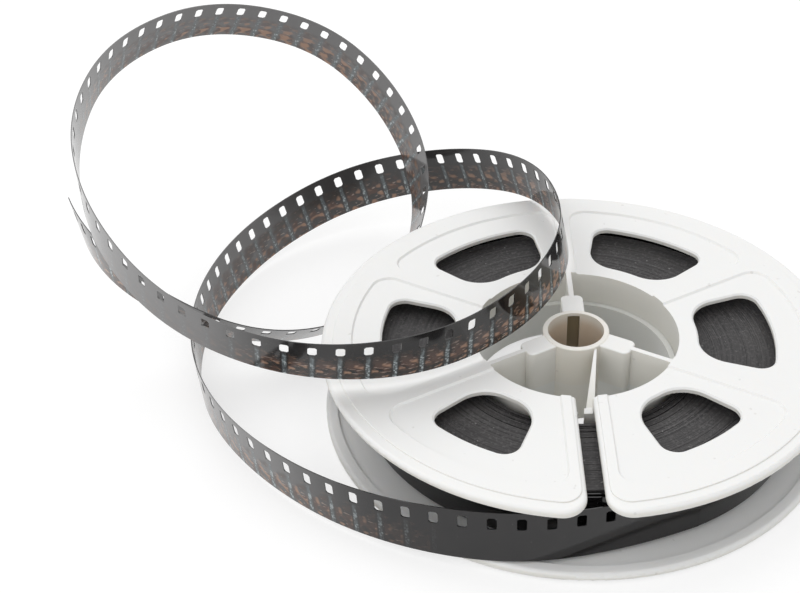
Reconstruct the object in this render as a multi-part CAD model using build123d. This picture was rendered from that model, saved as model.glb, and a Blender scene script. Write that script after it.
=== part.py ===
from build123d import *
import math
import os

# Millimetres. The origin is on the spindle bore's axis, in the plane that the reel lies on, and +Z is that axis.
# An angle is an azimuth: 0 along +X, counted towards +Y, with the threading slot near -Y.

# Reel, both halves
REEL_HEIGHT = 12.7
FLANGE_RADIUS = 37.0
FLANGE_THICKNESS = 1.55
PARTING_HEIGHT = REEL_HEIGHT / 2
RIM_WIDTH = 1.7
RIM_DROP = 0.2
RIM_ROUNDING = 0.6
FACE_ROUNDING = 0.12
FLANGE_RECESS = 0.45
SLOT_LIP_WIDTH = 0.6

# Drum that the film is wound on
DRUM_RADIUS = 15.9
HUB_OPENING_RADIUS = 14.75
SPIGOT_CLEARANCE = 0.05
SPIGOT_WALL = 0.85
SPIGOT_HEIGHT = 1.0
HUB_MOUTH_HEIGHT = 1.25
HUB_MOUTH_RADIUS = 16.0

# Boss, bore and drive keyways
BORE_RADIUS = 4.05
BOSS_WALL = 0.75
BOSS_PROUD = 0.1
BOSS_ROUNDING = 0.2
KEYWAY_WIDTH = 1.8
KEYWAY_DEPTH = 1.4
KEYWAY_TOP_WALL = 0.5

# Webs between the boss and the drum
WEB_COUNT = 3
FIRST_WEB_ANGLE = 96.0
WEB_THICKNESS = 0.75
LUG_WIDTH = 3.3
LUG_REACH = 8.8
LUG_CORNER = 0.9
LUG_ROUNDING = 0.25

# Windows and spokes of each flange
WINDOW_COUNT = 6
WINDOW_INNER_RADIUS = 17.5
WINDOW_OUTER_RADIUS = 28.2
SPOKE_ANGLE = 21.0
SLOT_SPOKE_ANGLE = 41.0
WINDOW_OUTER_CORNER = 2.3
WINDOW_INNER_CORNER = 4.8
WINDOW_BEVEL = 0.25
WINDOW_BEVEL_SLOPE = 45.0

# Shallow panels sunk round the windows
PANEL_DEPTH = 0.3
PANEL_SLOPE = 40.0
PANEL_OUTER_RADIUS = 32.4
PANEL_RIB_WIDTH = 2.7
SLOT_PANEL_RIB_WIDTH = 6.6
PANEL_CORNER = 2.5

# Threading slot, the notch in the drum behind it, and the fin that traps the film's end
SLOT_ANGLE = -84.0
SLOT_WIDTH = 2.3
SLOT_DEPTH = 2.2
SLOT_MOUTH_RADIUS = 3.2
NOTCH_MOUTH_ANGLES = (-90.0, -83.2)
NOTCH_THROAT_ANGLES = (-86.4, -84.4)
FIN_BOSS_ANGLE = -49.0
FIN_DRUM_ANGLE = -81.0
FIN_BOSS_WIDTH = 0.3
FIN_DRUM_WIDTH = 1.15
FIN_TOP_DROP = 0.2
FIN_BOTTOM_GAP = 0.3

# Film: one strip, wound on the drum, with its outer end free
FILM_WIDTH = 7.975
FILM_THICKNESS = 0.15
FILM_GAP = 0.3
ROLL_RADIUS = 32.0
TURN_COUNT = 2
TURN_PITCH = 0.62
ROLL_GAP = 0.4
LEAVE_ANGLE = -61.0
FIRST_RUN = 9.5
SECTION_SPACING = 3.8
ARC_SHARE = 0.45

# The free tail after its first run: x, y, z of the strip's middle, then how far the upper edge leans
# towards +X and +Y for each millimetre of height.
TAIL_ROUTE = [
    (-9.0, -36.5, 6.0, 0.00, 0.10),
    (-29.0, -32.0, 5.0, -0.05, 0.00),
    (-46.0, -20.5, 4.2, -0.10, -0.05),
    (-57.0, -5.5, 4.0, -0.05, 0.00),
    (-60.5, 13.5, 4.0, -0.10, 0.00),
    (-55.5, 32.5, 4.5, -0.25, 0.00),
    (-42.0, 45.5, 7.7, -0.25, 0.05),
    (-23.5, 46.5, 12.3, -0.25, 0.00),
    (-7.5, 34.5, 18.0, -0.25, 0.00),
    (-1.0, 18.0, 17.8, -0.20, 0.05),
    (-6.0, 0.0, 17.5, 0.00, 0.00),
    (-19.5, -13.5, 17.0, 0.15, -0.15),
    (-38.5, -18.5, 18.5, 0.15, -0.35),
    (-56.5, -14.5, 23.0, 0.20, -0.35),
    (-70.5, -2.5, 29.5, 0.25, -0.20),
    (-77.5, 14.5, 35.0, 0.25, -0.25),
    (-76.0, 33.0, 39.0, 0.35, -0.25),
    (-64.5, 49.0, 39.0, 0.55, -0.35),
    (-47.5, 56.5, 32.5, 0.60, -0.50),
    (-34.3, 51.0, 23.7, 0.55, -0.45),
    (-26.5, 40.0, 13.3, 0.50, -0.40),
    (-28.0, 25.0, 5.3, 0.45, -0.35),
    (-34.5, 8.5, 5.0, 0.50, -0.50),
    (-47.5, -1.0, 8.5, 0.45, -0.60),
    (-62.0, -1.0, 14.5, 0.30, -0.50),
    (-74.5, 6.0, 18.5, 0.00, -0.25),
    (-79.5, 16.0, 18.5, -0.25, -0.05),
]

# How far a cut runs on past the solid that it cuts
REEL_MARGIN = 1.0

# Worked out from the sizes above
FACE_RADIUS = FLANGE_RADIUS - RIM_WIDTH
BOSS_RADIUS = BORE_RADIUS + BOSS_WALL
KEYWAY_RADIUS = BORE_RADIUS + KEYWAY_DEPTH
SPIGOT_OUTER_RADIUS = HUB_OPENING_RADIUS - SPIGOT_CLEARANCE
SPIGOT_INNER_RADIUS = SPIGOT_OUTER_RADIUS - SPIGOT_WALL
UPPER_FLANGE_BOTTOM = REEL_HEIGHT - FLANGE_THICKNESS
WEB_ANGLES = [FIRST_WEB_ANGLE + 360 * i / WEB_COUNT for i in range(WEB_COUNT)]
WINDOW_STEP = 360 / WINDOW_COUNT
SPOKE_ANGLES = [SLOT_ANGLE + WINDOW_STEP * i for i in range(WINDOW_COUNT)]
FILM_BOTTOM = FLANGE_THICKNESS + FILM_GAP
FILM_MIDDLE = FILM_BOTTOM + FILM_WIDTH / 2
ROLL_INNER_RADIUS = DRUM_RADIUS + FILM_GAP
TURNS_END_RADIUS = ROLL_RADIUS - FILM_THICKNESS / 2
TURNS_START_RADIUS = TURNS_END_RADIUS - TURN_COUNT * TURN_PITCH
CORE_RADIUS = TURNS_START_RADIUS - FILM_THICKNESS / 2 - ROLL_GAP


def polar(radius, angle):
    """Point in plan at a radius and an azimuth in degrees."""
    turn = math.radians(angle)
    return (radius * math.cos(turn), radius * math.sin(turn))


def disc(radius, bottom, top):
    """Solid cylinder on the reel's axis between two heights."""
    return Pos(0, 0, bottom) * Cylinder(radius, top - bottom, align=(Align.CENTER, Align.CENTER, Align.MIN))


def ring(inner, outer, bottom, top):
    """Solid annulus on the reel's axis between two heights."""
    return disc(outer, bottom, top) - disc(inner, bottom - REEL_MARGIN, top + REEL_MARGIN)


def cone(bottom_radius, top_radius, bottom, top):
    """Solid tapered disc on the reel's axis between two heights."""
    height = top - bottom
    return Pos(0, 0, bottom) * Cone(bottom_radius, top_radius, height, align=(Align.CENTER, Align.CENTER, Align.MIN))


def prism(sketch, bottom, top, flare=0):
    """Plan sketch raised between two heights; a flare in degrees widens it upwards."""
    return Pos(0, 0, bottom) * extrude(sketch, amount=top - bottom, dir=(0, 0, 1), taper=-flare)


def rounded(solid, radius, both_faces):
    """Prism with its upper outline rounded, or both outlines; an edge across the reel's axis stays sharp."""
    levels = solid.edges().filter_by(Plane.XY).group_by(Axis.Z)
    chosen = levels[0] + levels[-1] if both_faces else levels[-1]
    return fillet([e for e in chosen if math.hypot((e @ 0.5).X, (e @ 0.5).Y) > REEL_MARGIN], radius)


def bar(width, start, end, angle, bottom, top):
    """Straight radial bar, centred on an azimuth."""
    size = Box(end - start, width, top - bottom, align=(Align.MIN, Align.CENTER, Align.MIN))
    return Rot(0, 0, angle) * (Pos(start, 0, bottom) * size)


def beside_spoke(radius, spoke_angle, offset):
    """Point at a radius on the line that runs beside a spoke's centre line at a given offset."""
    along = math.sqrt(radius ** 2 - offset ** 2)
    turn = math.radians(spoke_angle)
    x = along * math.cos(turn) - offset * math.sin(turn)
    y = along * math.sin(turn) + offset * math.cos(turn)
    return (x, y)


def sector(inner, outer, corners, outer_corner):
    """Face between two arcs, its outer corners rounded, from its inner and outer point at each end."""
    (start_in, start_out), (end_in, end_out) = corners
    middle = math.degrees(math.atan2(start_out[1] + end_out[1], start_out[0] + end_out[0]))
    outline = [
        Line(start_in, start_out),
        ThreePointArc(start_out, polar(outer, middle), end_out),
        Line(end_out, end_in),
        ThreePointArc(end_in, polar(inner, middle), start_in),
    ]
    face = make_face(outline)
    far = [v for v in face.vertices() if math.hypot(v.X, v.Y) > (inner + outer) / 2]
    return fillet(far, outer_corner)


def window(spoke_angle, first_half, second_half):
    """Window between one spoke and the next, each spoke given by half its angle."""
    start = spoke_angle + first_half
    end = spoke_angle + WINDOW_STEP - second_half
    corners = [[polar(r, a) for r in (WINDOW_INNER_RADIUS, WINDOW_OUTER_RADIUS)] for a in (start, end)]
    face = sector(WINDOW_INNER_RADIUS, WINDOW_OUTER_RADIUS, corners, WINDOW_OUTER_CORNER)
    near = [v for v in face.vertices() if math.hypot(v.X, v.Y) < WINDOW_INNER_RADIUS + WINDOW_INNER_CORNER / 2]
    return fillet(near, WINDOW_INNER_CORNER)


def panel(spoke_angle, first_half, second_half):
    """Sunk panel from the hub opening to past a window; its sides run beside the two spokes' centre lines."""
    radii = (HUB_OPENING_RADIUS - REEL_MARGIN, PANEL_OUTER_RADIUS)
    start = [beside_spoke(r, spoke_angle, first_half) for r in radii]
    end = [beside_spoke(r, spoke_angle + WINDOW_STEP, -second_half) for r in radii]
    return sector(*radii, [start, end], PANEL_CORNER)


def around_flange(shape, common, at_slot):
    """The six windows or panels of a flange; the first and last stand beside the slot's spoke."""
    sides = [at_slot] + [common] * (WINDOW_COUNT - 1) + [at_slot]
    return [shape(angle, sides[i] / 2, sides[i + 1] / 2) for i, angle in enumerate(SPOKE_ANGLES)]


def slot_opening(width, bottom, top):
    """Straight cut of the threading slot, from inside the drum to past the rim."""
    return bar(width, HUB_OPENING_RADIUS - REEL_MARGIN, FLANGE_RADIUS + REEL_MARGIN, SLOT_ANGLE, bottom, top)


def slotted_disc(radius, width, corner):
    """Disc in plan with the slot cut in from its rim, the mouth's two corners rounded."""
    half = width / 2
    along = math.sqrt((radius - corner) ** 2 - (half + corner) ** 2)
    turn = math.degrees(math.atan2(half + corner, along))
    outline = [ThreePointArc(polar(radius, turn), (-radius, 0), polar(radius, -turn)), Line((0, half), (0, -half))]
    for side in (1, -1):
        outline.append(Line((0, side * half), (along, side * half)))
        outline.append(TangentArc((along, side * half), polar(radius, side * turn), tangent=(1, 0)))
    return Rot(0, 0, SLOT_ANGLE) * make_face(outline)


def lug_plan(angle):
    """Lug in plan, from the axis out, its outer corners rounded."""
    block = Pos(LUG_REACH / 2, 0) * Rectangle(LUG_REACH, LUG_WIDTH)
    return Rot(0, 0, angle) * fillet(block.vertices().group_by(Axis.X)[-1], LUG_CORNER)


def boss_and_webs(bottom, boss_top, web_top, soft_top):
    """One half's share of the boss, its three lugs and the thin webs that carry them."""
    boss = disc(BOSS_RADIUS, bottom, boss_top)
    if soft_top:
        boss = rounded(boss, BOSS_ROUNDING, both_faces=False)
    for angle in WEB_ANGLES:
        lug = prism(lug_plan(angle), bottom, web_top)
        boss += rounded(lug, LUG_ROUNDING, both_faces=False) if soft_top else lug
        boss += bar(WEB_THICKNESS, BOSS_RADIUS, (HUB_OPENING_RADIUS + DRUM_RADIUS) / 2, angle, bottom, web_top)
    return boss


def bore_and_keyways(boss_top):
    """Spindle bore right through, with the blind keyways that open at the underside."""
    cut = disc(BORE_RADIUS, -REEL_MARGIN, boss_top + REEL_MARGIN)
    for angle in WEB_ANGLES:
        cut += bar(KEYWAY_WIDTH, 0, KEYWAY_RADIUS, angle, -REEL_MARGIN, boss_top - KEYWAY_TOP_WALL)
    return cut


def notch(bottom, top):
    """Tapered way through the drum's wall, from the slot to the hub, for the film's inner end."""
    mouth = [polar(HUB_OPENING_RADIUS - REEL_MARGIN, a) for a in NOTCH_MOUTH_ANGLES]
    throat = [polar(DRUM_RADIUS + REEL_MARGIN / 2, a) for a in NOTCH_THROAT_ANGLES]
    return prism(make_face(Polyline(mouth[0], mouth[1], throat[1], throat[0], close=True)), bottom, top)


def fin():
    """Thin wedge that falls from the boss to the slot's ledge, beside the notch, and traps the film's end."""
    bottom = PARTING_HEIGHT + SPIGOT_HEIGHT + FIN_BOTTOM_GAP
    start = Vector(*polar(BORE_RADIUS + BOSS_WALL / 2, FIN_BOSS_ANGLE), bottom)
    end = Vector(*polar((HUB_OPENING_RADIUS + DRUM_RADIUS) / 2, FIN_DRUM_ANGLE), bottom)
    along = (end - start).normalized()
    across = Vector(0, 0, 1).cross(along)
    ends = []
    for place, width, top in ((start, FIN_BOSS_WIDTH, REEL_HEIGHT - FIN_TOP_DROP),
                              (end, FIN_DRUM_WIDTH, REEL_HEIGHT - SLOT_DEPTH)):
        face = Rectangle(width, top - bottom, align=(Align.CENTER, Align.MIN))
        ends.append(Plane(origin=place, x_dir=across, z_dir=along) * face)
    return loft(ends, ruled=True)


def flange(outline, face, recess, openings, panels):
    """Flange from its inner face at 0 to its outer face, from its plans: rim, raised face, inner recess, cuts."""
    rim_top = FLANGE_THICKNESS - RIM_DROP
    panel_floor = FLANGE_THICKNESS - PANEL_DEPTH
    plate = rounded(prism(outline, 0, rim_top), RIM_ROUNDING, both_faces=True)
    plate += rounded(prism(face, rim_top, FLANGE_THICKNESS), FACE_ROUNDING, both_faces=False)
    plate -= prism(recess - Circle(DRUM_RADIUS), -REEL_MARGIN, FLANGE_RECESS)
    for area in panels:
        plate -= prism(area, panel_floor, FLANGE_THICKNESS + REEL_MARGIN, PANEL_SLOPE)
    for opening in openings:
        plate -= prism(opening, -REEL_MARGIN, FLANGE_THICKNESS + REEL_MARGIN)
        plate -= prism(opening, panel_floor - WINDOW_BEVEL, FLANGE_THICKNESS + REEL_MARGIN, WINDOW_BEVEL_SLOPE)
    return plate


def slotted_half():
    """Upper moulding: slotted flange, upper drum, boss and webs, and the fin."""
    boss_top = REEL_HEIGHT + BOSS_PROUD
    half = Pos(0, 0, UPPER_FLANGE_BOTTOM) * flange(
        slotted_disc(FLANGE_RADIUS, SLOT_WIDTH, SLOT_MOUTH_RADIUS),
        slotted_disc(FACE_RADIUS, SLOT_WIDTH + 2 * SLOT_LIP_WIDTH, PANEL_CORNER),
        slotted_disc(FACE_RADIUS, SLOT_WIDTH + 2 * RIM_WIDTH, PANEL_CORNER),
        around_flange(window, SPOKE_ANGLE, SLOT_SPOKE_ANGLE),
        around_flange(panel, PANEL_RIB_WIDTH, SLOT_PANEL_RIB_WIDTH))
    half += disc(DRUM_RADIUS, PARTING_HEIGHT, UPPER_FLANGE_BOTTOM + RIM_ROUNDING)
    half -= disc(HUB_OPENING_RADIUS, PARTING_HEIGHT - REEL_MARGIN, REEL_HEIGHT + REEL_MARGIN)
    half -= slot_opening(SLOT_WIDTH, REEL_HEIGHT - SLOT_DEPTH, REEL_HEIGHT + REEL_MARGIN)
    half -= notch(PARTING_HEIGHT - REEL_MARGIN, REEL_HEIGHT + REEL_MARGIN)
    half += boss_and_webs(PARTING_HEIGHT, boss_top, REEL_HEIGHT, soft_top=True)
    half += fin()
    return half - bore_and_keyways(boss_top)


def spigot():
    """Ring that rises into the upper drum to centre it, open where the webs and the notch pass."""
    top = PARTING_HEIGHT + SPIGOT_HEIGHT
    wall = ring(SPIGOT_INNER_RADIUS - REEL_MARGIN, SPIGOT_OUTER_RADIUS, PARTING_HEIGHT - SPIGOT_HEIGHT, top)
    gap = WEB_THICKNESS + 2 * SPIGOT_CLEARANCE
    for angle in WEB_ANGLES:
        wall -= bar(gap, 0, DRUM_RADIUS, angle, PARTING_HEIGHT, top + REEL_MARGIN)
    return wall - notch(PARTING_HEIGHT, top + REEL_MARGIN)


def hub_cavity():
    """Inside of the lower drum: it widens from the spigot's top downwards and flares at the underside."""
    wall = cone(HUB_OPENING_RADIUS, SPIGOT_INNER_RADIUS, HUB_MOUTH_HEIGHT, PARTING_HEIGHT + SPIGOT_HEIGHT)
    return wall + cone(HUB_MOUTH_RADIUS, HUB_OPENING_RADIUS, 0, HUB_MOUTH_HEIGHT)


def plain_half():
    """Lower moulding: whole flange, lower drum with its spigot, boss and webs."""
    face = Circle(FACE_RADIUS)
    plate = flange(Circle(FLANGE_RADIUS), face, face, around_flange(window, SPOKE_ANGLE, SPOKE_ANGLE),
                   around_flange(panel, PANEL_RIB_WIDTH, PANEL_RIB_WIDTH))
    half = Pos(0, 0, FLANGE_THICKNESS) * mirror(plate, about=Plane.XY)
    half += disc(DRUM_RADIUS, RIM_DROP + PANEL_DEPTH, PARTING_HEIGHT)
    half += spigot()
    half -= hub_cavity()
    half += boss_and_webs(0, PARTING_HEIGHT, PARTING_HEIGHT, soft_top=False)
    return half - bore_and_keyways(REEL_HEIGHT + BOSS_PROUD)


def film_roll():
    """The wound film as far as its tight turns go: a plain core round the drum."""
    return ring(ROLL_INNER_RADIUS, CORE_RADIUS, FILM_BOTTOM, FILM_BOTTOM + FILM_WIDTH)


def film_section(centre, across, heading):
    """Cross-section of the strip, its width along across."""
    return Plane(origin=centre, x_dir=across, z_dir=heading) * Rectangle(FILM_WIDTH, FILM_THICKNESS)


def clockwise(angle):
    """Heading of a clockwise turn as it passes an azimuth."""
    turn = math.radians(angle)
    return Vector(math.sin(turn), -math.cos(turn), 0)


def turns_path():
    """Middle line of the outer turns: half circles that grow outwards, clockwise, to the leaving point."""
    out = Vector(*polar(1, LEAVE_ANGLE))
    on = clockwise(LEAVE_ANGLE)
    level = Vector(0, 0, FILM_MIDDLE)
    side = 1
    reach = TURNS_START_RADIUS
    arcs = []
    for _ in range(2 * TURN_COUNT):
        radius = reach + TURN_PITCH / 4
        start = level + out * (side * reach)
        top = level + out * (-side * TURN_PITCH / 4) + on * (side * radius)
        reach += TURN_PITCH / 2
        side = -side
        arcs.append(ThreePointArc(start, top, level + out * (side * reach)))
    return Wire(arcs)


def film_outer_turns():
    """The loose outer turns, one unbroken strip round the core."""
    path = turns_path()
    section = film_section(path @ 0, Vector(0, 0, 1), path % 0)
    turns = sweep(section, path=path)
    samples = 240
    points = [path @ (i / samples) for i in range(samples + 1)]
    apart = samples // (2 * TURN_COUNT)
    near = min((a - b).length for i, a in enumerate(points) for b in points[i + apart:])
    print(f"outer turns: least gap to itself {near - FILM_THICKNESS:.2f} mm")
    report_volume("outer turns", turns, path)
    return turns


def tail_points():
    """Middle of the strip along the tail, straight out of the last turn and on through the chosen points."""
    start = Vector(*polar(TURNS_END_RADIUS, LEAVE_ANGLE), FILM_MIDDLE)
    return [start, start + clockwise(LEAVE_ANGLE) * FIRST_RUN] + [Vector(*p[:3]) for p in TAIL_ROUTE]


def tail_path(points):
    """Straight runs joined by tangent arcs, each as large as its two runs allow."""
    radii = []
    for before, corner, after in zip(points, points[1:], points[2:]):
        run_in = corner - before
        run_out = after - corner
        half_turn = math.radians(run_in.get_angle(run_out)) / 2
        radii.append(ARC_SHARE * min(run_in.length, run_out.length) / math.tan(half_turn))
    print("tail radii:", " ".join(f"{r:.1f}" for r in radii))
    return FilletPolyline(*points, radius=radii)


def leaning(path, points, stations):
    """How far the strip leans at each station, evenly between one route point and the next."""
    leans = [(0, 0), (0, 0)] + [p[3:] for p in TAIL_ROUTE]
    marks = [min(range(stations + 1), key=lambda s: (path @ (s / stations) - p).length) for p in points]
    result = []
    for s in range(stations + 1):
        i = max(k for k, mark in enumerate(marks[:-1]) if mark <= s)
        share = (s - marks[i]) / (marks[i + 1] - marks[i])
        result.append([a + (b - a) * share for a, b in zip(leans[i], leans[i + 1])])
    return result


def film_tail():
    """The free strip, in short straight facets along its path."""
    points = tail_points()
    path = tail_path(points)
    stations = round(path.length / SECTION_SPACING)
    sections = []
    for s, lean in enumerate(leaning(path, points, stations)):
        heading = path % (s / stations)
        upright = Vector(lean[0], lean[1], 1)
        across = (upright - heading * upright.dot(heading)).normalized()
        sections.append(film_section(path @ (s / stations), across, heading))
    tail = loft(sections, ruled=True)
    report_volume("tail", tail, path)
    return tail


def report_volume(name, solid, path):
    """Compare a strip's volume with its section times its length."""
    expected = FILM_WIDTH * FILM_THICKNESS * path.length
    print(f"{name}: length {path.length:.1f} mm, volume {solid.volume:.1f}, section x length {expected:.1f}")


NODES = {
    "slotted_half": slotted_half,
    "plain_half": plain_half,
    "film_roll": film_roll,
    "film_outer_turns": film_outer_turns,
    "film_tail": film_tail,
}

os.makedirs("parts", exist_ok=True)
for node, build in NODES.items():
    export_step(build(), f"parts/{node}.step")
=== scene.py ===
import math
import random

import bpy
from mathutils import Matrix, Vector


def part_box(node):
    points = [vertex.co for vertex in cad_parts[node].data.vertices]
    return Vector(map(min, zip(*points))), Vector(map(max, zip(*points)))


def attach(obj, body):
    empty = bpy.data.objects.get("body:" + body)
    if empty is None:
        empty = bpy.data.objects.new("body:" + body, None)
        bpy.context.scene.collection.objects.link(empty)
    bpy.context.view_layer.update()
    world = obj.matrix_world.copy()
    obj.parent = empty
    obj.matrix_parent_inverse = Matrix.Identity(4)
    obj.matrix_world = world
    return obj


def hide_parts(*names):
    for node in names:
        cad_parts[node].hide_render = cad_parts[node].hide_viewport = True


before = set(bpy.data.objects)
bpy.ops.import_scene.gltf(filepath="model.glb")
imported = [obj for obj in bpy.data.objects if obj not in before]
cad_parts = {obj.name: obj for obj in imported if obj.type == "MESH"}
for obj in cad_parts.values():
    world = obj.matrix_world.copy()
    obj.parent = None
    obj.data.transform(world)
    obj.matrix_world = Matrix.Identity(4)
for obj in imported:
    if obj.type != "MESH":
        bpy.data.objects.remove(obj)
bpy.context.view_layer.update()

MM = 0.001
UP = Vector((0, 0, 1))

# Film, as on the real strip
FILM_WIDTH = 7.975 * MM
FILM_THICKNESS = 0.15 * MM
PITCH = 3.81 * MM
HOLE_LENGTH = 1.27 * MM
HOLE_WIDTH = 1.83 * MM
HOLE_CORNER = 0.25 * MM
HOLE_FROM_EDGE = 1.815 * MM
FIRST_HOLE = 3.43 * MM
FILM_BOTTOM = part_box("film_roll")[0].z
FILM_MIDDLE = FILM_BOTTOM + FILM_WIDTH / 2

# Faces of the strip: rows below its holes as shares of its half width, columns past each hole's centre, the step
# and the margin of the columns ahead of its first hole, and the rows and number of columns that a hole takes
PLAIN_ROWS = (-1.0, -0.66, -0.33, 0.0)
PLAIN_COLUMNS = (1.2 * MM, 1.9 * MM, 2.6 * MM)
START_COLUMN = 0.6 * MM
START_MARGIN = 0.8 * MM
HOLE_ROWS = range(4, 7)
HOLE_COLUMNS = 3
HOLE_ARC_STEPS = 3
KEYS_PER_METRE = 1e7
SHARP_ANGLE = math.radians(40)

# Where the wound film lies
ROLL_INNER_RADIUS = 16.2 * MM
ROLL_RADIUS = 32.0 * MM
TURN_COUNT = 2
TURN_PITCH = 0.62 * MM
HALF_TURN_STEPS = 90
LEAVE_ANGLE = math.radians(-61.0)
FIRST_RUN = 9.5 * MM
JOIN_BACK = 1.9 * MM
SPLINE_STEPS = 24

# The tight winding is one spiral. A slack gap has a turn, an azimuth and a width in mm, each drawn from a range.
# A swell has the azimuth and the width by which the first turn stands off the drum. The lift is in mm.
SPIRAL_SEED = 8
SPIRAL_TURNS = 80
SPIRAL_STEPS = 120
SPIRAL_THICKNESS = 0.13 * MM
SPIRAL_PITCH = 0.16 * MM
INNER_GAPS = {"count": 8, "turns": (1, 12), "azimuths": (-2.4, -0.5), "widths": (0.10, 0.28)}
OUTER_GAPS = {"count": 9, "turns": (14, 76), "azimuths": (-3.1, 3.1), "widths": (0.01, 0.05)}
START_SWELLS = ((-2.05, 0.75 * MM), (-0.85, 0.55 * MM))
TURN_LIFT = (-0.04, 0.02)

# The free tail: x, y, z of its middle in mm, then its lean towards +X and +Y. The points are the part's own,
# moved by up to 1.2 mm and leaning a little otherwise, as photographed.
TAIL_ROUTE = [
    (-9.0, -36.5, 6.0, 0.00, 0.10),
    (-29.0, -32.0, 5.0, -0.05, 0.00),
    (-46.0, -20.5, 4.2, -0.10, -0.05),
    (-57.0, -5.5, 4.0, -0.05, 0.00),
    (-60.5, 13.5, 4.0, -0.10, 0.00),
    (-55.5, 32.5, 4.5, -0.25, 0.00),
    (-42.0, 45.5, 7.7, -0.25, 0.05),
    (-23.5, 47.0, 12.0, -0.25, 0.00),
    (-7.5, 35.5, 17.5, -0.25, 0.00),
    (-1.0, 18.0, 17.8, -0.20, 0.05),
    (-6.0, -1.0, 18.2, 0.00, 0.00),
    (-19.5, -14.5, 17.7, 0.15, -0.15),
    (-38.5, -19.0, 18.9, 0.15, -0.35),
    (-56.5, -14.5, 23.0, 0.20, -0.35),
    (-70.2, -2.5, 29.5, 0.10, -0.20),
    (-77.2, 14.5, 35.0, 0.10, -0.25),
    (-76.0, 33.0, 38.95, 0.35, -0.25),
    (-64.5, 49.0, 38.95, 0.55, -0.35),
    (-47.5, 56.5, 32.5, 0.60, -0.50),
    (-34.3, 51.0, 23.7, 0.55, -0.45),
    (-26.5, 40.0, 13.3, 0.50, -0.40),
    (-28.0, 25.0, 5.3, 0.45, -0.55),
    (-34.5, 8.5, 5.0, 0.50, -0.90),
    (-47.5, -1.0, 8.5, 0.45, -0.80),
    (-62.0, -1.0, 14.5, 0.30, -0.50),
    (-74.4, 6.2, 19.0, -0.05, -0.15),
    (-79.7, 15.8, 18.3, -0.15, 0.00),
]

# Lengths along the strip over which a look comes or goes, in mm from where the strip leaves the roll
PRINT_COMES = (30.0, 56.0)
PRINT_PALES = (250.0, 266.0)
PRINT_RETURNS = (300.0, 330.0)
# Lengths over which the two painted sheens come, thin and go
FIRST_SHEEN_COMES = (38.0, 62.0)
FIRST_SHEEN_THINS = (118.0, 138.0)
FIRST_SHEEN_GOES = (174.0, 184.0)
SECOND_SHEEN_COMES = (252.0, 268.0)
SECOND_SHEEN_THINS = (396.0, 420.0)

# How strongly the painted sheen covers the film on its sheen lengths
SHEEN_STRENGTH = 0.52

# Smudges on the film: how the noise is stretched, its scale and detail, the values between which a smudge
# sets in, how strong it is below and above them, and its colour
SHADOW_SMUDGE = {"stretch": (1.4, 0.4), "noise": (1.3, 1.0), "edge": (0.38, 0.66), "strength": (0.0, 0.55),
                 "tint": (0.046, 0.038, 0.031, 1)}
BROWN_SMUDGE = {"stretch": (1.4, 0.45), "noise": (1.5, 1.0), "edge": (0.42, 0.64), "strength": (0.0, 0.75),
                "tint": (0.120, 0.066, 0.050, 1)}
EMBER_SMUDGE = {"stretch": (1.4, 0.55), "noise": (2.0, 0.5), "edge": (0.52, 0.70), "strength": (0.0, 0.85),
                "tint": (0.40, 0.235, 0.155, 1)}
GLINT_SMUDGE = {"stretch": (1.6, 1.8), "noise": (2.4, 0.5), "edge": (0.66, 0.74), "strength": (0.0, 0.7),
                "tint": (0.52, 0.40, 0.34, 1)}
LINE_STREAK = {"stretch": (6.0, 0.6), "noise": (1.4, 2.0), "edge": (0.34, 0.60), "strength": (0.25, 1.0),
               "tint": (0.140, 0.165, 0.175, 1)}
LINE_FLECK = {"stretch": (3.5, 1.1), "noise": (1.9, 1.5), "edge": (0.52, 0.64), "strength": (0.0, 1.0),
              "tint": (0.44, 0.49, 0.50, 1)}
FRAME_DRIFT = 0.06

# Other colours of the film, its painted sheen among them, and of the edges of its turns
FILM_BLACK = (0.008, 0.008, 0.009, 1)
FILM_CHARCOAL = (0.017, 0.015, 0.015, 1)
FILM_SHEEN = (0.30, 0.295, 0.295, 1)
FILM_DUST = (0.30, 0.29, 0.28, 1)
EDGE_BLACK = (0.026, 0.025, 0.026, 1)
EDGE_CHARCOAL = (0.080, 0.076, 0.077, 1)
EDGE_PALE = (0.095, 0.090, 0.088, 1)
EDGE_GRAIN = (0.135, 0.130, 0.130, 1)
EDGE_DUST = (0.40, 0.39, 0.38, 1)

# Colours of the plastic, and of the painted shade on its walls, deep in its hub, bore and keyways
# and along its rims' bottom edges
UPPER_FACE = (0.85, 0.85, 0.84, 1)
UPPER_HUB_SHADE = (0.72, 0.71, 0.665, 1)
UPPER_RIM_SHADE = (0.68, 0.61, 0.50, 1)
LOWER_FACE = (0.86, 0.86, 0.85, 1)
LOWER_HUB_SHADE = (0.72, 0.725, 0.70, 1)
LOWER_RIM_SHADE = (0.46, 0.35, 0.235, 1)
WALL_SHADE = (0.74, 0.72, 0.65, 1)
BOSS_TINT = (0.74, 0.68, 0.57, 1)
BORE_SHADE = (0.66, 0.56, 0.45, 1)
KEYWAY_SHADE = (0.34, 0.28, 0.18, 1)
SPECK_TINT = (0.45, 0.43, 0.40, 1)

# Reel sizes that its colours follow
REEL_HEIGHT = 12.7 * MM
FLANGE_RADIUS = 37.0 * MM
FLANGE_THICKNESS = 1.55 * MM
HUB_OPENING_RADIUS = 14.75 * MM
BOSS_RADIUS = 4.8 * MM
BORE_RADIUS = 4.05 * MM
KEYWAY_RADIUS = 5.45 * MM
KEYWAY_HALF_ANGLE = 0.20
FIRST_WEB_ANGLE = math.radians(96.0)
WEB_STEP = math.radians(120.0)

# Camera, solved from the reel's own circles in the photograph
IMAGE_WIDTH = 800
FOCAL_PIXELS = 1349.7
SENSOR_MM = 36.0
CAMERA_PLACE = Vector((0.0, -157.26, 131.69)) * MM
CAMERA_YAW = -0.16099
CAMERA_PITCH = 0.62260
CAMERA_ROLL = -0.04901

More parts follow.
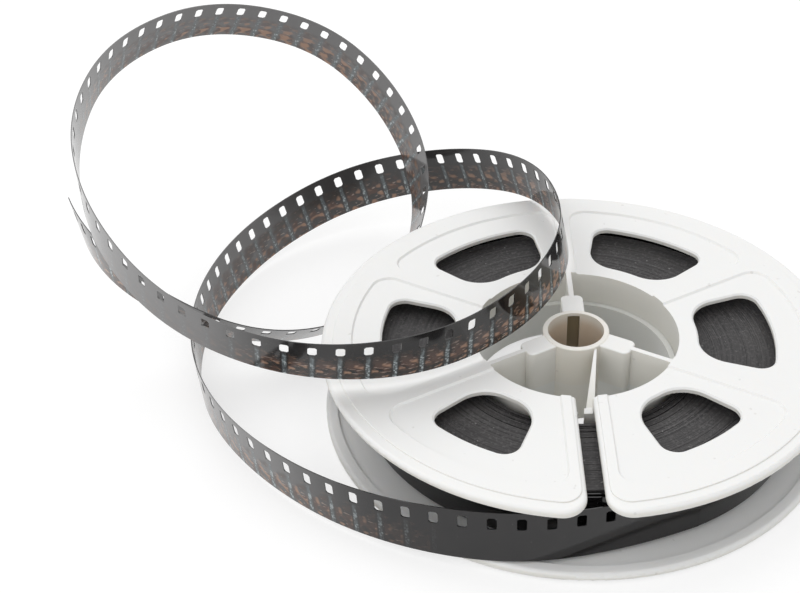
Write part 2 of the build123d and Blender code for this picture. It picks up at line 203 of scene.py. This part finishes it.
# Light, and the floor as it lights the object and as it is seen
WORLD_LIGHT = 0.72
KEY_LAMP = {"place": (-0.20, 0.30, 0.85), "size": 1.1, "power": 3.4}
FILL_LAMP = {"place": (-0.50, -0.50, 0.50), "size": 0.8, "power": 1.5}
FLOOR_REACH = 3.0
FLOOR_DROP = 0.02 * MM
FLOOR_GREY = 0.80
FLOOR_SEEN_GREY = 0.40
FLOOR_SEEN_GLOW = 0.64


def polar(radius, angle, height=0.0):
    """Point at a radius, azimuth in radians and height."""
    return Vector((radius * math.cos(angle), radius * math.sin(angle), height))


def clockwise(angle):
    """Heading of a clockwise turn as it passes an azimuth."""
    return Vector((math.sin(angle), -math.cos(angle), 0))


def new_object(name, data):
    """Object in the scene."""
    obj = bpy.data.objects.new(name, data)
    bpy.context.scene.collection.objects.link(obj)
    return obj


# Materials

class Nodes:
    """Short calls for building one material's nodes."""

    def __init__(self, name):
        self.material = bpy.data.materials.new(name)
        self.material.use_nodes = True
        self.tree = self.material.node_tree
        self.shader = self.tree.nodes["Principled BSDF"]

    def add(self, kind, **settings):
        """New node with its settings."""
        node = self.tree.nodes.new(kind)
        for key, value in settings.items():
            setattr(node, key, value)
        return node

    def put(self, socket, value):
        """Links an output to a socket, or writes a plain value in it."""
        if isinstance(value, bpy.types.NodeSocket):
            self.tree.links.new(value, socket)
        else:
            socket.default_value = value

    def shade(self, **values):
        """Values of the shader's own sockets."""
        for key, value in values.items():
            self.put(self.shader.inputs[key.replace("_", " ")], value)

    def math(self, operation, first, second=0.0, third=0.0):
        """Result of one Math node."""
        node = self.add("ShaderNodeMath", operation=operation)
        for socket, value in zip(node.inputs, (first, second, third)):
            self.put(socket, value)
        return node.outputs[0]

    def product(self, first, *others):
        """All the values multiplied together."""
        for other in others:
            first = self.math("MULTIPLY", first, other)
        return first

    def smooth(self, value, low, high, start=0.0, end=1.0):
        """Smooth step from start to end as value goes from low to high."""
        node = self.add("ShaderNodeMapRange", interpolation_type="SMOOTHSTEP")
        keys = ("Value", "From Min", "From Max", "To Min", "To Max")
        for key, content in zip(keys, (value, low, high, start, end)):
            self.put(node.inputs[key], content)
        return node.outputs[0]

    def mix(self, share, first, second):
        """The first colour with a share of the second."""
        node = self.add("ShaderNodeMix", data_type="RGBA")
        sockets = (node.inputs[0], node.inputs[6], node.inputs[7])
        for socket, value in zip(sockets, (share, first, second)):
            self.put(socket, value)
        return node.outputs[2]

    def noise(self, place, scale, detail=2.0, roughness=0.5):
        """Smooth noise from 0 to 1."""
        node = self.add("ShaderNodeTexNoise")
        values = (("Vector", place), ("Scale", scale), ("Detail", detail), ("Roughness", roughness))
        for key, value in values:
            self.put(node.inputs[key], value)
        return node.outputs["Fac"]

    def vector(self, x=0.0, y=0.0, z=0.0):
        """Vector of three values."""
        node = self.add("ShaderNodeCombineXYZ")
        for socket, value in zip(node.inputs, (x, y, z)):
            self.put(socket, value)
        return node.outputs[0]

    def split(self, vector):
        """The three values of a vector."""
        node = self.add("ShaderNodeSeparateXYZ")
        self.put(node.inputs[0], vector)
        return node.outputs

    def radius(self, place):
        """Distance from the reel's axis."""
        x, y, _ = self.split(place)
        return self.math("SQRT", self.math("ADD", self.product(x, x), self.product(y, y)))

    def bump(self, height, strength, distance):
        """Surface normal of a fine relief."""
        node = self.add("ShaderNodeBump")
        for key, value in (("Strength", strength), ("Distance", distance), ("Height", height)):
            self.put(node.inputs[key], value)
        return node.outputs[0]


def grey(value):
    """Neutral colour."""
    return (value, value, value, 1)


def keyway_share(n, place, z, radius):
    """1 on the walls of the keyways, which lie below the bore's top where the webs meet the boss."""
    x, y, _ = n.split(place)
    from_first = n.math("SUBTRACT", n.math("ARCTAN2", y, x), FIRST_WEB_ANGLE)
    off_web = n.math("ABSOLUTE", n.math("WRAP", from_first, WEB_STEP / 2, -WEB_STEP / 2))
    at_web = n.smooth(off_web, KEYWAY_HALF_ANGLE, KEYWAY_HALF_ANGLE + 0.02, 1.0, 0.0)
    past_bore = n.smooth(radius, BORE_RADIUS + 0.1 * MM, BORE_RADIUS + 0.2 * MM)
    within = n.smooth(radius, KEYWAY_RADIUS + 0.10 * MM, KEYWAY_RADIUS + 0.12 * MM, 1.0, 0.0)
    below_top = n.smooth(z, REEL_HEIGHT - 0.5 * MM, REEL_HEIGHT - 0.4 * MM, 1.0, 0.0)
    return n.product(at_web, past_bore, within, below_top)


def tint_and_shade_hub(n, colour, inner, place, radius):
    """Painted shade deep inside the drum, in the bore and on its keyways' walls, and a warmer tone on the boss.
    """
    z = n.split(place)[2]
    deep = n.smooth(z, REEL_HEIGHT - 2.2 * MM, REEL_HEIGHT - 0.25 * MM, 1.0, 0.12)
    in_hub = n.smooth(radius, HUB_OPENING_RADIUS - 0.1 * MM, HUB_OPENING_RADIUS + 0.1 * MM, 1.0, 0.0)
    at_boss = n.smooth(radius, BOSS_RADIUS, BOSS_RADIUS + 0.1 * MM, 0.35, 0.0)
    in_bore = n.smooth(radius, BORE_RADIUS + 0.02 * MM, BORE_RADIUS + 0.12 * MM, 1.0, 0.0)
    # Painted shade, darker towards the bottom of the hub and of the bore, and dark on the keyways' walls; the
    # boss only gets a warmer tone
    colour = n.mix(n.product(in_hub, deep), colour, inner)
    colour = n.mix(at_boss, colour, BOSS_TINT)
    colour = n.mix(n.product(in_bore, deep), colour, BORE_SHADE)
    return n.mix(keyway_share(n, place, z, radius), colour, KEYWAY_SHADE)


def plastic(name, face, inner, edge, edge_height):
    """White moulded plastic, with painted shade on its walls, deep in its hub and along the rim's bottom edge.
    """
    n = Nodes(name)
    coordinates = n.add("ShaderNodeTexCoord")
    place = coordinates.outputs["Object"]
    z = n.split(place)[2]
    radius = n.radius(place)
    cloud = n.noise(place, 60.0, 3.0)
    facing = n.math("ABSOLUTE", n.split(coordinates.outputs["Normal"])[2])
    # Painted shade on the walls: the more upright a face, the more of the darker, warmer wall colour
    colour = n.mix(n.smooth(facing, 0.15, 0.75, 0.55, 0.0), face, WALL_SHADE)
    # The inner colour is the painted shade deep in the hub
    colour = tint_and_shade_hub(n, colour, inner, place, radius)
    # Painted shade along the rim's bottom edge in the edge colour, broken into patches by the noise
    at_rim = n.smooth(radius, FLANGE_RADIUS - 0.35 * MM, FLANGE_RADIUS - 0.15 * MM)
    at_edge = n.smooth(z, edge_height, edge_height + 0.3 * MM, 1.0, 0.0)
    shade_patches = n.smooth(cloud, 0.32, 0.62, 0.35, 1.0)
    colour = n.mix(n.product(at_rim, at_edge, shade_patches), colour, edge)
    speck = n.smooth(n.noise(place, 900.0, 1.0), 0.74, 0.80, 0.0, 0.25)
    colour = n.mix(speck, colour, SPECK_TINT)
    rough = n.smooth(cloud, 0.3, 0.7, 0.30, 0.42)
    n.shade(Base_Color=colour, Roughness=rough, Specular_IOR_Level=0.4, Subsurface_Weight=0.12,
            Subsurface_Radius=(1.0, 0.85, 0.7), Subsurface_Scale=1.0 * MM,
            Normal=n.bump(n.noise(place, 700.0, 2.0), 0.12, 0.05 * MM))
    return n.material


def sheen_share(n, along):
    """How much painted sheen covers the film, on two of its lengths."""
    first = n.product(n.smooth(along, *FIRST_SHEEN_COMES), n.smooth(along, *FIRST_SHEEN_THINS, 1.0, 0.3),
                      n.smooth(along, *FIRST_SHEEN_GOES, 1.0, 0.0))
    second = n.product(n.smooth(along, *SECOND_SHEEN_COMES), n.smooth(along, *SECOND_SHEEN_THINS, 1.0, 0.2))
    return n.product(n.math("ADD", first, second), SHEEN_STRENGTH)


def paint_frames(n, colour, along, across):
    """Frames of generic colour smudges, with a pale streaked line between each two."""
    frames = n.math("ADD", n.math("DIVIDE", along, PITCH / MM), 0.5)
    drift = n.product(n.math("FLOOR", frames), FRAME_DRIFT)
    within = n.math("FRACT", frames)
    to_line = n.math("SUBTRACT", 0.5, n.math("ABSOLUTE", n.math("SUBTRACT", within, 0.5)))
    # The print fades over the start of the second painted sheen
    pale = n.product(n.smooth(along, *PRINT_PALES), n.smooth(along, *PRINT_RETURNS, 1.0, 0.0))
    printed = n.product(n.smooth(along, *PRINT_COMES), n.smooth(across, 0.5, 1.3, 1.0, 0.0),
                        n.smooth(pale, 0.0, 1.0, 1.0, 0.12))
    low = n.smooth(across, -2.0, 1.0, 1.0, 0.25)
    between = n.product(n.smooth(to_line, 0.10, 0.22), printed, low)
    line = n.product(n.smooth(to_line, 0.04, 0.11, 1.0, 0.0), printed)

    def smudge(where, stretch, noise, edge, strength, tint):
        """Colour with one layer of noise on it, which changes slowly from frame to frame."""
        place = n.vector(n.product(within, stretch[0]), n.product(across, stretch[1]), drift)
        share = n.smooth(n.noise(place, *noise), *edge, *strength)
        return n.mix(n.product(share, where), colour, tint)

    colour = smudge(printed, **SHADOW_SMUDGE)
    for layer in (BROWN_SMUDGE, EMBER_SMUDGE, GLINT_SMUDGE):
        colour = smudge(between, **layer)
    colour = smudge(line, **LINE_STREAK)
    return smudge(n.product(line, low), **LINE_FLECK)


def film_material():
    """Developed film: black and glossy, with a painted sheen on some lengths and frames of generic colour
    smudges.
    """
    n = Nodes("film")
    along, across, _ = n.split(n.add("ShaderNodeUVMap", uv_map="strip").outputs[0])
    flat = n.vector(along, across, 0.0)
    colour = n.mix(n.noise(flat, 0.35, 2.0), FILM_BLACK, FILM_CHARCOAL)
    # Painted sheen: pale grey over two lengths of the strip
    colour = n.mix(sheen_share(n, along), colour, FILM_SHEEN)
    colour = paint_frames(n, colour, along, across)
    dust = n.smooth(n.noise(flat, 3.4, 1.0), 0.75, 0.80, 0.0, 0.3)
    colour = n.mix(dust, colour, FILM_DUST)
    patch = n.noise(n.vector(n.product(along, 0.4), across, 4.0), 0.5, 3.0)
    rough = n.smooth(patch, 0.35, 0.7, 0.07, 0.15)
    ripple = n.noise(n.vector(n.product(along, 0.25), n.product(across, 0.5), 9.0), 0.5, 1.0)
    n.shade(Base_Color=colour, Roughness=rough, Specular_IOR_Level=0.5,
            Normal=n.bump(ripple, 0.06, 0.2 * MM))
    return n.material


def edges_material():
    """Edges of the wound film: charcoal, each turn a slightly different tone, with dust."""
    n = Nodes("film_edges")
    place = n.add("ShaderNodeTexCoord").outputs["Object"]
    turn = n.noise(n.vector(n.math("DIVIDE", n.radius(place), MM), 0.0, 0.0), 2.6, 4.0, 0.7)
    around = n.noise(place, 130.0, 2.0)
    colour = n.mix(n.smooth(turn, 0.35, 0.65), EDGE_BLACK, EDGE_CHARCOAL)
    colour = n.mix(n.smooth(around, 0.45, 0.75, 0.0, 0.35), colour, EDGE_PALE)
    grain = n.smooth(n.noise(place, 2600.0, 2.0), 0.50, 0.68, 0.0, 0.45)
    colour = n.mix(grain, colour, EDGE_GRAIN)
    dust = n.smooth(n.noise(place, 1500.0, 1.0), 0.74, 0.79, 0.0, 0.5)
    colour = n.mix(dust, colour, EDGE_DUST)
    n.shade(Base_Color=colour, Roughness=n.smooth(turn, 0.3, 0.7, 0.45, 0.62), Specular_IOR_Level=0.35)
    return n.material


# Film

def spline_points(name, coordinates):
    """Points along a smooth open NURBS line whose control points are the coordinates."""
    curve = bpy.data.curves.new(name, "CURVE")
    curve.dimensions = "3D"
    curve.resolution_u = SPLINE_STEPS
    spline = curve.splines.new("NURBS")
    spline.points.add(len(coordinates) - 1)
    for point, place in zip(spline.points, coordinates):
        point.co = (*place, 1.0)
    spline.order_u = 3
    spline.use_endpoint_u = True
    holder = new_object(name, curve)
    mesh = bpy.data.meshes.new_from_object(holder)
    points = [v.co.copy() for v in mesh.vertices]
    bpy.data.objects.remove(holder)
    bpy.data.meshes.remove(mesh)
    bpy.data.curves.remove(curve)
    return points


def turns_line():
    """Middle line of the outer turns: half circles that grow outwards, clockwise, to the leaving point."""
    out, on = polar(1, LEAVE_ANGLE), clockwise(LEAVE_ANGLE)
    side = 1
    reach = ROLL_RADIUS - FILM_THICKNESS / 2 - TURN_COUNT * TURN_PITCH
    line = []
    for _ in range(2 * TURN_COUNT):
        radius = reach + TURN_PITCH / 4
        centre = out * (-side * TURN_PITCH / 4) + UP * FILM_MIDDLE
        for step in range(HALF_TURN_STEPS):
            a = math.pi * step / HALF_TURN_STEPS
            line.append(centre + (out * math.cos(a) + on * math.sin(a)) * (side * radius))
        reach += TURN_PITCH / 2
        side = -side
    line.append(out * (side * reach) + UP * FILM_MIDDLE)
    return line


class Strip:
    """A strip's middle line with its lean, read by the distance along it."""

    def __init__(self, line, leans):
        self.line = line
        self.stations = [0.0]
        for a, b in zip(line, line[1:]):
            self.stations.append(self.stations[-1] + (b - a).length)
        last = len(line) - 1
        heads = [(line[min(i + 1, last)] - line[max(i - 1, 0)]).normalized() for i in range(last + 1)]
        self.widths = []
        for head, lean in zip(heads, leans):
            upright = Vector((lean[0], lean[1], 1))
            self.widths.append((upright - head * upright.dot(head)).normalized())
        self.length = self.stations[-1]
        self.cursor = 0

    def at(self, distance):
        """Middle of the strip and the direction of its width there."""
        while self.cursor > 0 and self.stations[self.cursor] > distance:
            self.cursor -= 1
        while self.cursor < len(self.line) - 2 and self.stations[self.cursor + 1] < distance:
            self.cursor += 1
        i = self.cursor
        share = (distance - self.stations[i]) / (self.stations[i + 1] - self.stations[i])
        middle = self.line[i].lerp(self.line[i + 1], share)
        width = self.widths[i].lerp(self.widths[i + 1], share).normalized()
        return middle, width


def hole_arc(sign_x, sign_y):
    """Rounded corner of a perforation, from its end side to its edge side, from the hole's centre."""
    middle = Vector((sign_x * (HOLE_LENGTH / 2 - HOLE_CORNER), sign_y * (HOLE_WIDTH / 2 - HOLE_CORNER)))
    points = []
    for k in range(HOLE_ARC_STEPS + 1):
        a = math.pi / 2 * k / HOLE_ARC_STEPS
        points.append(middle + HOLE_CORNER * Vector((sign_x * math.cos(a), sign_y * math.sin(a))))
    return points


class Grid:
    """Faces in the strip's own plane, distance along it and height across it, with shared vertices."""

    def __init__(self):
        self.keys = {}
        self.points = []
        self.faces = []

    def vertex(self, x, y):
        """Number of the vertex at a place, new or shared."""
        key = (round(x * KEYS_PER_METRE), round(y * KEYS_PER_METRE))
        if key not in self.keys:
            self.keys[key] = len(self.points)
            self.points.append((x, y))
        return self.keys[key]

    def face(self, corners):
        """Adds a face."""
        self.faces.append([self.vertex(x, y) for x, y in corners])

    def hole_corners(self, centre, height):
        """Faces that round the four corners of a square hole."""
        for sx in (-1, 1):
            for sy in (-1, 1):
                corner = (centre + sx * HOLE_LENGTH / 2, height + sy * HOLE_WIDTH / 2)
                arc = [(centre + p.x, height + p.y) for p in hole_arc(sx, sy)]
                self.face([corner] + (arc if sx * sy > 0 else arc[::-1]))


def hole_centres(length, first_hole):
    """Distances along the strip of the holes that lie wholly on it."""
    start = first_hole - PITCH * math.ceil(first_hole / PITCH)
    count = math.ceil((length - start) / PITCH)
    margin = HOLE_LENGTH / 2 + HOLE_CORNER
    centres = [start + PITCH * i for i in range(count + 1)]
    return [c for c in centres if margin < c < length - margin]


def grid_columns(centres, length):
    """Distances along the strip where faces meet."""
    lengthwise = HOLE_LENGTH / 2 - HOLE_CORNER
    offsets = (-HOLE_LENGTH / 2, -lengthwise, lengthwise, HOLE_LENGTH / 2, *PLAIN_COLUMNS)
    columns = {0.0, length}
    for c in centres:
        columns.update(round(c + d, 9) for d in offsets if 0 < c + d < length)
    fill = centres[0] - HOLE_LENGTH / 2
    while fill > START_MARGIN:
        fill -= START_COLUMN
        columns.add(round(fill, 9))
    return sorted(columns)


def grid_rows(hole_height):
    """Heights across the strip where faces meet."""
    half = FILM_WIDTH / 2
    inner = HOLE_WIDTH / 2 - HOLE_CORNER
    rows = [half * share for share in PLAIN_ROWS]
    rows += [hole_height + d for d in (-HOLE_WIDTH / 2, -inner, inner, HOLE_WIDTH / 2)]
    return rows + [half]


def perforated_grid(length, first_hole):
    """Flat grid of a strip with a rounded hole at every pitch."""
    grid = Grid()
    hole_height = FILM_WIDTH / 2 - HOLE_FROM_EDGE
    centres = hole_centres(length, first_hole)
    columns = grid_columns(centres, length)
    rows = grid_rows(hole_height)
    holes = {round(c - HOLE_LENGTH / 2, 9): c for c in centres}
    open_columns = 0
    for x0, x1 in zip(columns, columns[1:]):
        if x0 in holes:
            open_columns = HOLE_COLUMNS
        for j, (y0, y1) in enumerate(zip(rows, rows[1:])):
            if not (open_columns and j in HOLE_ROWS):
                grid.face([(x0, y0), (x1, y0), (x1, y1), (x0, y1)])
        if x0 in holes:
            grid.hole_corners(holes[x0], hole_height)
        open_columns = max(0, open_columns - 1)
    return grid


def shade_smooth(mesh):
    """Smooth shading but for sharp edges."""
    mesh.polygons.foreach_set("use_smooth", [True] * len(mesh.polygons))
    mesh.set_sharp_from_angle(angle=SHARP_ANGLE)


def bake_modifiers(obj):
    """Gives an object its evaluated mesh, smooth but for its sharp edges."""
    graph = bpy.context.evaluated_depsgraph_get()
    mesh = bpy.data.meshes.new_from_object(obj.evaluated_get(graph))
    obj.modifiers.clear()
    old, obj.data = obj.data, mesh
    bpy.data.meshes.remove(old)
    shade_smooth(mesh)
    return obj


def strip_object(name, strip, first_hole, origin):
    """Perforated strip along a line, with its real thickness and a map in millimetres from its origin."""
    grid = perforated_grid(strip.length, first_hole)
    vertices = []
    for x, y in grid.points:
        middle, width = strip.at(x)
        vertices.append(tuple(middle + width * y))
    mesh = bpy.data.meshes.new(name)
    mesh.from_pydata(vertices, [], grid.faces)
    layer = mesh.uv_layers.new(name="strip")
    shift = PITCH / 2 - FIRST_HOLE - origin
    for loop in mesh.loops:
        x, y = grid.points[loop.vertex_index]
        layer.data[loop.index].uv = ((x + shift) / MM, y / MM)
    obj = new_object(name, mesh)
    solid = obj.modifiers.new("thickness", "SOLIDIFY")
    solid.thickness = FILM_THICKNESS
    solid.offset = 0
    return bake_modifiers(obj)


def slack_gaps(rng, count, turns, azimuths, widths):
    """Turn, azimuth and width of each slack gap."""
    return [(rng.uniform(*turns), rng.uniform(*azimuths), rng.uniform(*widths) * MM) for _ in range(count)]


def swell(angle, middle):
    """Share from 0 to 1 that peaks at an azimuth."""
    return (0.5 + 0.5 * math.cos(angle - middle)) ** 3


def spiral_sections():
    """Vertices of the spiral, four for each of its sections."""
    rng = random.Random(SPIRAL_SEED)
    gaps = slack_gaps(rng, **INNER_GAPS) + slack_gaps(rng, **OUTER_GAPS)
    lifts = [rng.uniform(*TURN_LIFT) * MM for _ in range(SPIRAL_TURNS + 2)]
    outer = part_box("film_roll")[1].x - SPIRAL_THICKNESS

    def spread(turn, angle):
        """How far out a turn lies before it is scaled to the roll."""
        slack = 0
        for index, middle, size in gaps:
            slack += size * max(0.0, min(1.0, turn - index)) * swell(angle, middle)
        return turn * SPIRAL_PITCH + slack

    vertices = []
    for k in range(SPIRAL_TURNS * SPIRAL_STEPS + 1):
        turn = k / SPIRAL_STEPS
        angle = -2 * math.pi * turn + LEAVE_ANGLE
        inner = ROLL_INNER_RADIUS + sum(size * swell(angle, middle) for middle, size in START_SWELLS)
        radius = inner + (outer - inner) * spread(turn, angle) / spread(SPIRAL_TURNS, angle)
        outside = radius + SPIRAL_THICKNESS
        step = int(turn)
        lift = lifts[step] + (lifts[step + 1] - lifts[step]) * (turn - step)
        top = FILM_BOTTOM + FILM_WIDTH + lift
        section = ((radius, FILM_BOTTOM), (radius, top), (outside, top), (outside, FILM_BOTTOM))
        vertices += [tuple(polar(r, angle, z)) for r, z in section]
    return vertices


def bar_faces(vertex_count):
    """Faces of a four-sided bar, section by section, and its two ends."""
    end = vertex_count - 4
    faces = []
    for a in range(0, end, 4):
        b = a + 4
        faces += [(a + i, b + i, b + (i + 1) % 4, a + (i + 1) % 4) for i in range(4)]
    return faces + [(0, 1, 2, 3), (end + 3, end + 2, end + 1, end)]


def wound_roll():
    """The wound film: one long spiral of turns, loose where it starts beside the slot, with slack gaps."""
    vertices = spiral_sections()
    mesh = bpy.data.meshes.new("wound_film")
    mesh.from_pydata(vertices, [], bar_faces(len(vertices)))
    shade_smooth(mesh)
    return new_object("wound_film", mesh)


def outer_turns():
    """The outer turns of the strip, up to where the free tail overlaps them."""
    circle = turns_line()
    turns = Strip(circle, [(0, 0)] * len(circle))
    whole = turns.length
    turns.length -= JOIN_BACK
    last_hole = whole + FIRST_HOLE - PITCH
    outer = strip_object("wound_outer_turns", turns, last_hole % PITCH, whole)
    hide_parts("film_outer_turns")
    return outer


def free_tail():
    """The free end of the strip, a flat cord from the roll to its bare end."""
    start = polar(ROLL_RADIUS - FILM_THICKNESS / 2, LEAVE_ANGLE, FILM_MIDDLE)
    route = [start, start + clockwise(LEAVE_ANGLE) * FIRST_RUN] + [Vector(p[:3]) * MM for p in TAIL_ROUTE]
    leans = [(0, 0), (0, 0)] + [p[3:] for p in TAIL_ROUTE]
    line = spline_points("tail_line", route)
    lean_line = spline_points("tail_leans", [(a, b, 0.0) for a, b in leans])
    line.insert(0, start - clockwise(LEAVE_ANGLE) * JOIN_BACK)
    lean_line.insert(0, Vector((0, 0, 0)))
    tail_strip = Strip(line, lean_line)
    tail = strip_object("free_film", tail_strip, FIRST_HOLE + JOIN_BACK, JOIN_BACK)
    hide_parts("film_tail")
    return tail


def build_film():
    """The wound film, its outer turns and its free tail, in place of their nodes."""
    film, edges = film_material(), edges_material()
    roll = wound_roll()
    roll.data.materials.append(edges)
    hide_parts("film_roll")
    outer = outer_turns()
    tail = free_tail()
    for piece in (outer, tail):
        piece.data.materials.clear()
        piece.data.materials.append(film)
    for piece in (roll, outer, tail):
        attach(piece, "film")


def dress_reel():
    """Plastic for the two mouldings."""
    upper = plastic("upper_plastic", UPPER_FACE, UPPER_HUB_SHADE, UPPER_RIM_SHADE, REEL_HEIGHT - FLANGE_THICKNESS)
    lower = plastic("lower_plastic", LOWER_FACE, LOWER_HUB_SHADE, LOWER_RIM_SHADE, 0.05 * MM)
    for node, material in (("slotted_half", upper), ("plain_half", lower)):
        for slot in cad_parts[node].material_slots:
            slot.material = material


# Stage

def place_camera():
    """The photograph's camera."""
    data = bpy.data.cameras.new("camera")
    data.sensor_width = SENSOR_MM
    data.sensor_fit = "HORIZONTAL"
    data.lens = FOCAL_PIXELS * SENSOR_MM / IMAGE_WIDTH
    data.clip_start = 0.01
    camera = new_object("camera", data)
    level = math.cos(CAMERA_PITCH)
    ahead = Vector((math.sin(CAMERA_YAW) * level, math.cos(CAMERA_YAW) * level, -math.sin(CAMERA_PITCH)))
    right = ahead.cross(UP).normalized()
    above = right.cross(ahead)
    turn, tilt = math.cos(CAMERA_ROLL), math.sin(CAMERA_ROLL)
    x_axis = right * turn + above * tilt
    y_axis = above * turn - right * tilt
    rotation = Matrix((x_axis, y_axis, -ahead)).transposed().to_4x4()
    camera.matrix_world = Matrix.Translation(CAMERA_PLACE) @ rotation
    bpy.context.scene.camera = camera


def seen_directly(tree):
    """Share that is 1 for camera, glossy and transmission rays, and 0 where a surface lights the object."""
    path = tree.nodes.new("ShaderNodeLightPath")
    share = path.outputs["Is Camera Ray"]
    for name in ("Is Glossy Ray", "Is Transmission Ray"):
        node = tree.nodes.new("ShaderNodeMath")
        node.operation = "MAXIMUM"
        tree.links.new(share, node.inputs[0])
        tree.links.new(path.outputs[name], node.inputs[1])
        share = node.outputs[0]
    return share


def light_world():
    """White surroundings that light the object from all round at less than full strength."""
    world = bpy.data.worlds.new("world")
    bpy.context.scene.world = world
    world.use_nodes = True
    tree = world.node_tree
    background = tree.nodes["Background"]
    background.inputs["Color"].default_value = grey(1.0)
    strength = tree.nodes.new("ShaderNodeMapRange")
    tree.links.new(seen_directly(tree), strength.inputs["Value"])
    strength.inputs["To Min"].default_value = WORLD_LIGHT
    strength.inputs["To Max"].default_value = 1.0
    tree.links.new(strength.outputs[0], background.inputs["Strength"])


def add_lamp(name, place, size, power):
    """Square soft lamp that faces the reel."""
    lamp = bpy.data.lights.new(name, "AREA")
    lamp.size = size
    lamp.energy = power
    obj = new_object(name, lamp)
    obj.location = place
    obj.rotation_euler = (-Vector(place)).to_track_quat("-Z", "Y").to_euler()


def lay_floor():
    """White floor that keeps the shadows, paler where it is seen directly."""
    mesh = bpy.data.meshes.new("floor")
    reach = FLOOR_REACH
    corners = [(-reach, -reach, 0), (reach, -reach, 0), (reach, reach, 0), (-reach, reach, 0)]
    mesh.from_pydata(corners, [], [(0, 1, 2, 3)])
    floor = new_object("floor", mesh)
    floor.location.z = -FLOOR_DROP
    n = Nodes("floor")
    seen = seen_directly(n.tree)
    n.shade(Base_Color=n.mix(seen, grey(FLOOR_GREY), grey(FLOOR_SEEN_GREY)), Roughness=0.9,
            Specular_IOR_Level=0.0, Emission_Color=grey(1.0),
            Emission_Strength=n.product(seen, FLOOR_SEEN_GLOW))
    mesh.materials.append(n.material)


place_camera()
light_world()
add_lamp("key", **KEY_LAMP)
add_lamp("fill", **FILL_LAMP)
lay_floor()
dress_reel()
build_film()
bpy.context.scene.view_settings.view_transform = "Standard"
